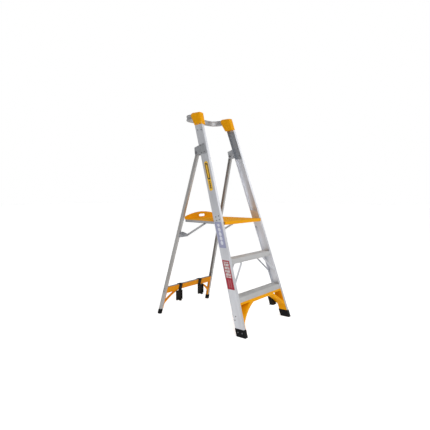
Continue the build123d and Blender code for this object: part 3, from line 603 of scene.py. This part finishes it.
def studs(name: str, material: bpy.types.Material, body: str, slot: str, middle: Vector,
          span: tuple[float, float], counts: tuple[int, int], size: Vector) -> bpy.types.Object:
    """A grid of small tapered studs that gives a level surface its grip.

    Args:
        name: The piece's name.
        material: Its material.
        body: The CAD body it rides on.
        slot: The record's material slot.
        middle: Middle of the grid, on the surface.
        span: The grid's size from side to side and from front to back.
        counts: Studs each way.
        size: Half the length and half the width of a stud, and its height.

    Returns:
        The finished piece.
    """
    p = Pattern(name, material, Width=span[0], Depth=span[1], Columns=counts[0], Rows=counts[1],
                Middle=middle, Size=size)
    grid = p.add("GeometryNodeMeshGrid", sockets={
        "Size X": p.given("Width"), "Size Y": p.given("Depth"),
        "Vertices X": p.given("Columns"), "Vertices Y": p.given("Rows")})
    stud = p.add("GeometryNodeMeshCone", sockets={
        "Vertices": 8, "Radius Top": 0.62, "Radius Bottom": 1.0, "Depth": 1.0})
    shaped = p.place(stud, (0.0, 0.0, 0.0), scale=p.given("Size"))
    spread = p.copies(p.place(grid, p.given("Middle")), shaped)
    return p.grow(spread, name, body, slot)


def heads(name: str, material: bpy.types.Material, body: str, slot: str, points: Sequence[Vector],
          turn: Vector, radius: float) -> bpy.types.Object:
    """Domed fastener heads with a washer flange, one on each point.

    Args:
        name: The piece's name.
        material: Its material.
        body: The CAD body it rides on.
        slot: The record's material slot.
        points: Where the heads sit.
        turn: The turn that points a head, built up +Z, out of its surface.
        radius: Radius of the dome.

    Returns:
        The finished piece.
    """
    p = Pattern(name, material, Turn=turn, Radius=radius)
    dome = p.add("GeometryNodeMeshUVSphere", sockets={
        "Segments": 16, "Rings": 8, "Radius": p.given("Radius")})
    flat = p.place(dome, (0.0, 0.0, 0.0), scale=(1.0, 1.0, 0.42))
    flange = p.add("GeometryNodeMeshCylinder", sockets={
        "Vertices": 20, "Radius": p.given("Radius") * 1.35, "Depth": p.given("Radius") * 0.22})
    head = p.join(flat, flange)
    rows = []
    for point in points:
        spot = p.add("GeometryNodeMeshLine", sockets={"Count": 1, "Start Location": tuple(point)})
        rows.append(p.copies(spot, head, p.given("Turn")))
    return p.grow(p.join(*rows), name, body, slot)


def foot_ribs(name: str, material: bpy.types.Material, body: str, low: Vector, size: Vector,
              slope: Vector, count: int, pitch: float) -> bpy.types.Object:
    """Raised ribs round a foot, each one a rounded rectangle swept with a round profile.

    Args:
        name: The piece's name.
        material: Its material.
        body: The CAD body it rides on.
        low: Middle of the lowest rib.
        size: The rib's size from side to side and front to back, and its corner radius.
        slope: How far a rib moves for each metre of height.
        count: How many ribs.
        pitch: Height from rib to rib.

    Returns:
        The finished piece.
    """
    p = Pattern(name, material, Low=low, Step=Vector((slope.x * pitch, slope.y * pitch, pitch)),
                Width=size.x, Depth=size.y, Corner=size.z, Count=count)
    outline = p.add("GeometryNodeCurvePrimitiveQuadrilateral", sockets={
        "Width": p.given("Width"), "Height": p.given("Depth")})
    rounded = p.add("GeometryNodeFilletCurve", {"mode": "POLY"}, {
        "Curve": outline, "Radius": p.given("Corner"), "Count": 5})
    profile = p.add("GeometryNodeCurvePrimitiveCircle", sockets={"Resolution": 8, "Radius": 0.0011})
    rib = p.add("GeometryNodeCurveToMesh", sockets={"Curve": rounded, "Profile Curve": profile})
    spots = p.add("GeometryNodeMeshLine", sockets={
        "Count": p.given("Count"), "Start Location": p.given("Low"), "Offset": p.given("Step")})
    return p.grow(p.copies(spots, rib), name, body, "rubber")


# ------------------------------------------------------------------ sub-assemblies
@dataclass
class FrontFrame:
    """Stiles, boots, braces, brackets and rivets."""

    finishes: Finishes
    rib_start: float = 0.014
    rib_pitch: float = 0.0075
    rib_corner: float = 0.003
    ribs: int = 6

    def build(self) -> None:
        """Build the ribs round the boots."""
        for side, sign in SIDES:
            low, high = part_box(f"front_boot_{side}")
            rise = high.z - low.z
            width = high.x - low.x - SPLAY * rise
            depth = high.y - low.y - LEAN * rise
            outer = high.x if sign > 0 else low.x
            middle = Vector((outer - sign * (width / 2 + SPLAY * self.rib_start),
                             low.y + depth / 2 + LEAN * self.rib_start, self.rib_start))
            foot_ribs(f"boot_ribs_{side}", self.finishes.rubber, "front_frame", middle,
                      Vector((width, depth, self.rib_corner)), Vector((-sign * SPLAY, LEAN, 0.0)),
                      self.ribs, self.rib_pitch)

    def dress(self) -> None:
        """Dress the nodes of the front frame."""
        f = self.finishes
        dress(f.stile, *both("stile"), *both("tread_brace_front"), *both("tread_brace_rear"),
              *both("platform_bracket"))
        dress(f.steel, *both("stile_liner"))
        dress(f.plate, *both("hinge_bracket"))
        dress(f.rivet, "frame_rivets", *both("hinge_bolt"), *both("platform_pivot_pin"))
        dress(f.yellow, "front_arch_brace")
        dress(f.rubber, *both("front_boot"))
        dress(f.black, *both("storage_catch"), *both("hinge_spacer"))


@dataclass
class Treads:
    """The two treads, with serrated grip ribs between their grooves."""

    finishes: Finishes
    pitch: float = 0.007  # groove to groove
    stud_pitch: float = 0.0065
    stud: Vector = field(default_factory=lambda: Vector((0.0024, 0.0013, 0.0009)))
    edge: float = 0.012  # bare strip at each end
    rows: int = 10

    def build(self) -> None:
        """Build the grip of each tread."""
        for name in ("tread_lower", "tread_upper"):
            low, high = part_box(name)
            width = 2 * high.x - 2 * SPLAY * (high.z - low.z) - 2 * self.edge
            depth = high.y - low.y - LEAN * (high.z - low.z)
            middle = Vector((0.0, high.y - depth / 2, high.z))
            studs(f"{name}_grip", self.finishes.across, "front_frame", "aluminium", middle,
                  (width, (self.rows - 1) * self.pitch), (int(width / self.stud_pitch), self.rows),
                  self.stud)

    def dress(self) -> None:
        """Dress the treads."""
        dress(self.finishes.across, "tread_lower", "tread_upper")


@dataclass
class Platform:
    """Deck, side rails, cross members and pins."""

    finishes: Finishes
    border: float = 0.022  # bare strip round the grip
    stud: Vector = field(default_factory=lambda: Vector((0.0062, 0.0024, 0.0012)))
    pitch: tuple[float, float] = (0.024, 0.019)
    toe: float = 0.007  # the toe board, front to back
    head: float = 0.00294  # radius of a rivet's dome
    shares: tuple[float, ...] = (0.06, 0.5, 0.94)  # rivets along each rail
    drop: float = 0.011  # rivets below the rail's upper edge

    def build(self) -> None:
        """Build the deck's staggered grip and the rivets of its rails."""
        low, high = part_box("platform_deck")
        top = frame["record"]["mounts"][-1]["pos_m"][2]
        depth = high.y - low.y - self.toe - 2 * self.border
        width = 2 * high.x - 2 * SPLAY * (high.y - low.y) - 2 * self.border
        columns = int(width / self.pitch[0])
        rows = int(depth / self.pitch[1])
        for number, shift in enumerate((0.0, 0.5)):
            middle = Vector((0.0, low.y + self.border + depth / 2 + (shift - 0.25) * self.pitch[1], top))
            studs(f"deck_grip_{number + 1}", self.finishes.yellow, "platform", "yellow_plastic", middle,
                  ((columns - 1 - number) * self.pitch[0], (rows - 1) * self.pitch[1]),
                  (columns - number, rows), self.stud)
        for side, sign in SIDES:
            rail_low, rail_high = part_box(f"platform_rail_{side}")
            run = rail_high.y - rail_low.y
            outer = rail_high.x if sign > 0 else rail_low.x
            points = []
            for share in self.shares:
                y = rail_low.y + share * run
                points.append(Vector((outer - sign * SPLAY * share * run, y, rail_high.z - self.drop)))
            heads(f"rail_rivets_{side}", self.finishes.bright, "platform", "rivet", points,
                  Vector((0.0, sign * math.pi / 2, 0.0)), self.head)

    def dress(self) -> None:
        """Dress the nodes of the platform and its struts."""
        f = self.finishes
        dress(f.yellow, "platform_deck")
        dress(f.back, *both("platform_rail"), *both("platform_strut"))
        dress(f.across, "cross_member_front", "cross_member_rear")
        dress(f.rivet, *both("strut_pin"))


@dataclass
class GuardRail:
    """The bowed rail and the caps it plugs into."""

    finishes: Finishes
    screw: float = 0.0030
    rise: float = 0.013  # screws above the cap's lower edge
    places: tuple[float, float] = (0.026, 0.058)  # behind the stile's front edge

    def build(self) -> None:
        """Build the screws that hold the caps, on their outer faces."""
        for side, sign in SIDES:
            low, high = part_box(f"top_cap_{side}")
            outer = high.x if sign > 0 else low.x
            level = low.z + self.rise
            front = CAD_LOW.y + LEAN * level
            face = outer - sign * SPLAY * self.rise
            points = [Vector((face, front + place, level)) for place in self.places]
            heads(f"cap_screws_{side}", self.finishes.rivet, "front_frame", "rivet", points,
                  Vector((0.0, sign * (math.pi / 2 - SPLAY), 0.0)), self.screw)

    def dress(self) -> None:
        """Dress the rail and the caps."""
        dress(self.finishes.rail, "guard_rail")
        dress(self.finishes.cap, *both("top_cap"))


@dataclass
class RearFrame:
    """Legs, feet, cross bar, its arch and the closing clips."""

    finishes: Finishes
    rib_start: float = 0.010
    rib_pitch: float = 0.007
    rib_corner: float = 0.008
    ribs: int = 5

    def build(self) -> None:
        """Build the ribs round the feet."""
        lean, splay = leg_slopes()
        for side, sign in SIDES:
            low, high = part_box(f"rear_foot_{side}")
            rise = high.z - low.z
            width = high.x - low.x - splay * rise
            depth = high.y - low.y + lean * rise
            outer = high.x if sign > 0 else low.x
            middle = Vector((outer - sign * (width / 2 + splay * self.rib_start),
                             high.y - depth / 2 + lean * self.rib_start, self.rib_start))
            foot_ribs(f"foot_ribs_{side}", self.finishes.rubber, "rear_frame", middle,
                      Vector((width, depth, self.rib_corner)), Vector((-sign * splay, lean, 0.0)),
                      self.ribs, self.rib_pitch)

    def dress(self) -> None:
        """Dress the nodes of the rear frame."""
        f = self.finishes
        dress(f.leg, *both("rear_leg"))
        dress(f.across, "rear_cross_bar")
        dress(f.deep, "rear_arch_brace")
        dress(f.rubber, *both("rear_foot"))
        dress(f.black, *both("closing_clip"))
        dress(f.plate, *both("strut_bracket"))
        dress(f.rivet, "rear_rivets")


@dataclass
class Labels:
    """The three printed films on the left stile, with generic art."""

    badge: PrintedLabel = PrintedLabel("label_badge", Art.BADGE, 1.124, 1.370, 0.022, 0.062)
    chart: PrintedLabel = PrintedLabel("label_chart", Art.CHART, 0.668, 0.872, 0.008, 0.076)
    notice: PrintedLabel = PrintedLabel("label_notice", Art.NOTICE, 0.350, 0.572, 0.008, 0.076)

    def dress(self) -> None:
        """Dress the three labels."""
        dress(self.badge.make(), "label_upper")
        dress(self.chart.make(), "label_middle")
        dress(self.notice.make(), "label_lower")


# ------------------------------------------------------------------ studio
@dataclass
class Studio:
    """Plain floor, soft light and the camera."""

    eye: Vector = field(default_factory=lambda: Vector((-2.7654, -2.1853, 1.1246)))
    look: Vector = field(default_factory=lambda: Vector((0.7703, 0.6348, -0.0614)))
    lens: float = 33.06
    floor_size: float = 60.0
    floor_drop: float = 0.0006  # below the feet
    glow: float = 0.24  # light the floor gives to the ladder
    shown: float = 0.62  # light the floor gives to the camera
    surround: float = 0.72  # the room's bright patches
    dim: float = 0.16  # and its dark ones

    def floor(self) -> None:
        """Lay the floor."""
        mesh = bpy.data.meshes.new("floor")
        half = self.floor_size / 2
        corners = ((-half, -half), (half, -half), (half, half), (-half, half))
        mesh.from_pydata([(x, y, -self.floor_drop) for x, y in corners], [], [(0, 1, 2, 3)])
        floor = bpy.data.objects.new("floor", mesh)
        bpy.context.scene.collection.objects.link(floor)
        s = Surface("floor_paper")
        level = 0.93 + s.noise(s.place, 3.0, 2.0) * 0.01
        seen = s.add("ShaderNodeLightPath").out("Is Camera Ray")
        glow = seen * (self.shown - self.glow) + self.glow
        mesh.materials.append(s.close(Base_Color=s.vector(level, level, level), Roughness=0.9,
                                      Emission_Color=s.vector(glow, glow, glow), Emission_Strength=1.0))

    def lamp(self, name: str, place: tuple[float, float, float], power: float, size: float) -> None:
        """Hang one soft square lamp that looks at the ladder."""
        light = bpy.data.lights.new(name, "AREA")
        light.energy, light.size = power, size
        obj = bpy.data.objects.new(name, light)
        obj.location = place
        obj.rotation_euler = (Vector((0.0, 0.0, 0.8)) - obj.location).to_track_quat("-Z", "Y").to_euler()
        bpy.context.scene.collection.objects.link(obj)

    def build(self) -> None:
        """Build the whole studio."""
        self.floor()
        self.lamp("key", (-2.4, -3.2, 2.6), 40.0, 1.8)
        self.lamp("glance", (3.1, -2.1, 2.7), 14.0, 1.4)
        self.lamp("top", (-0.6, -1.6, 4.6), 52.0, 3.0)
        world = bpy.data.worlds.new("studio")
        world.use_nodes = True
        sky = Graph(world.node_tree)
        sky.tree.nodes.clear()
        seen = sky.add("ShaderNodeLightPath").out("Is Camera Ray")
        where = sky.add("ShaderNodeTexCoord").out("Generated")
        patches = sky.add("ShaderNodeTexNoise", sockets={"Vector": where, "Scale": 2.6, "Detail": 1.0})
        soft = sky.add("ShaderNodeMapRange", {"interpolation_type": "SMOOTHSTEP"}, {
            "Value": patches, "From Min": 0.38, "From Max": 0.62,
            "To Min": self.dim, "To Max": self.surround})
        background = sky.add("ShaderNodeBackground", sockets={
            "Color": (1.0, 1.0, 1.0, 1.0), "Strength": seen * (1.0 - soft) + soft})
        sky.add("ShaderNodeOutputWorld", sockets={"Surface": background})
        bpy.context.scene.world = world
        bpy.context.scene.view_settings.view_transform = "Standard"
        camera = bpy.data.cameras.new("camera")
        camera.sensor_width, camera.lens = 36.0, self.lens
        camera.clip_start, camera.clip_end = 0.05, 200.0
        obj = bpy.data.objects.new("camera", camera)
        obj.location = self.eye
        obj.rotation_mode = "QUATERNION"
        obj.rotation_quaternion = self.look.to_track_quat("-Z", "Y")
        bpy.context.scene.collection.objects.link(obj)
        bpy.context.scene.camera = obj


def main() -> None:
    """Build and dress the ladder, then its studio."""
    logging.basicConfig(level=logging.INFO, format="%(name)s: %(message)s")
    finishes = Finishes()
    for part in (FrontFrame(finishes), Treads(finishes), Platform(finishes), GuardRail(finishes),
                 RearFrame(finishes)):
        part.build()
        part.dress()
    Labels().dress()
    Studio().build()


if __name__ == "__main__":
    main()
